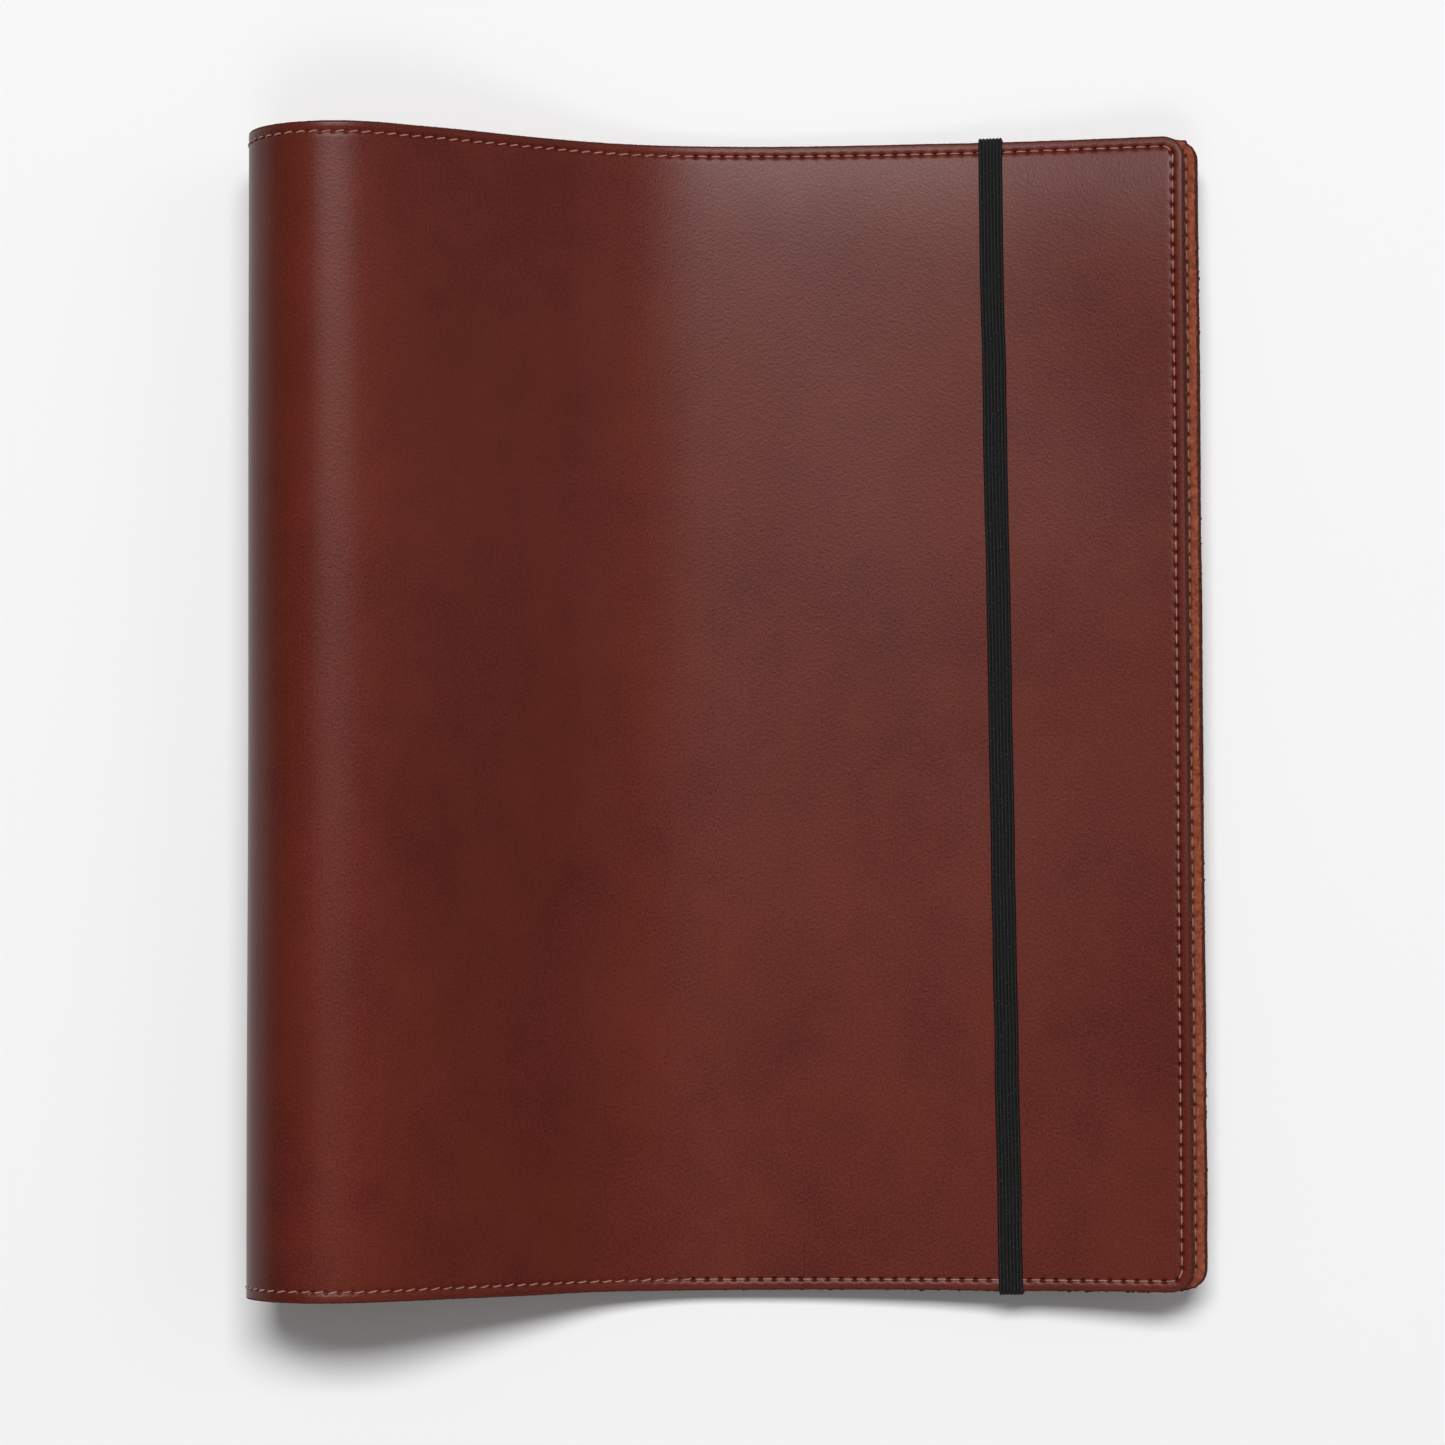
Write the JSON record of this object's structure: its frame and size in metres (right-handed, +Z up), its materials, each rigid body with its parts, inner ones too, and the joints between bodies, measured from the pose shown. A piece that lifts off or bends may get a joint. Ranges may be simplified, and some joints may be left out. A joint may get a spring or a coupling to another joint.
{
  "type": "leather notebook cover",
  "caption": "Empty slip-on leather cover for an A4 notebook, with a rolled spine, inner pockets, stitched edges and an elastic closure.",
  "frame": {"origin": "on the table, under the middle of the closed cover's box", "axes": "+X from the spine to the fore edge, +Y to the head of the page, +Z up from the table, front cover on top"},
  "size_m": [0.256, 0.3124, 0.047],
  "materials": {
    "grain_leather": "smooth satin grain side, reddish brown",
    "flesh_leather": "matt suede side, rust brown",
    "sewing_thread": "waxed sewing thread, dusty red",
    "elastic": "woven black elastic, ribbed lengthwise"
  },
  "bodies": {
    "back_cover": {"shell_back": "grain_leather", "pocket_back": "flesh_leather", "thread_back": "sewing_thread"},
    "spine_low": {"shell_spine_low": "grain_leather", "thread_spine_low": "sewing_thread"},
    "spine_mid": {"shell_spine_mid": "grain_leather", "thread_spine_mid": "sewing_thread"},
    "spine_high": {"shell_spine_high": "grain_leather", "thread_spine_high": "sewing_thread"},
    "front_slope": {"shell_slope": "grain_leather", "thread_slope": "sewing_thread"},
    "front_cover": {"shell_front": "grain_leather", "pocket_front": "flesh_leather", "thread_front": "sewing_thread"},
    "elastic": {"elastic_band": "elastic"}
  },
  "joints": [
    {"name": "cover_opening", "type": "hinge", "parent": "back_cover", "child": "spine_low", "pos_m": [-0.11443, 0, 0.0022], "axis": [0, -1, 0], "range_deg": [0, 50.5]},
    {"name": "spine_bend_mid", "type": "hinge", "parent": "spine_low", "child": "spine_mid", "pos_m": [-0.12782, 0, 0.02064], "axis": [0, -1, 0], "range_deg": [0, 62.5]},
    {"name": "spine_bend_high", "type": "hinge", "parent": "spine_mid", "child": "spine_high", "pos_m": [-0.11929, 0, 0.04176], "axis": [0, -1, 0], "range_deg": [0, 59]},
    {"name": "shoulder_bend", "type": "hinge", "parent": "spine_high", "child": "front_slope", "pos_m": [-0.09699, 0, 0.04604], "axis": [0, -1, 0], "range_deg": [0, 36]},
    {"name": "valley_bend", "type": "hinge", "parent": "front_slope", "child": "front_cover", "pos_m": [-0.02437, 0, 0.00781], "axis": [0, -1, 0], "range_deg": [-31.8, 0]},
    {"name": "elastic_release", "type": "hinge", "parent": "back_cover", "child": "elastic", "pos_m": [0.07447, 0, 0.00496], "axis": [-0.0117, 0.9999, -0.0017], "range_deg": [0, 180], "deforming": ["elastic_band"]}
  ],
  "couplings": [
    {"joint": "spine_bend_mid", "follows": "cover_opening", "ratio": 1.2277},
    {"joint": "spine_bend_high", "follows": "cover_opening", "ratio": 1.1584},
    {"joint": "shoulder_bend", "follows": "cover_opening", "ratio": 0.7038},
    {"joint": "valley_bend", "follows": "cover_opening", "ratio": -0.62}
  ]
}
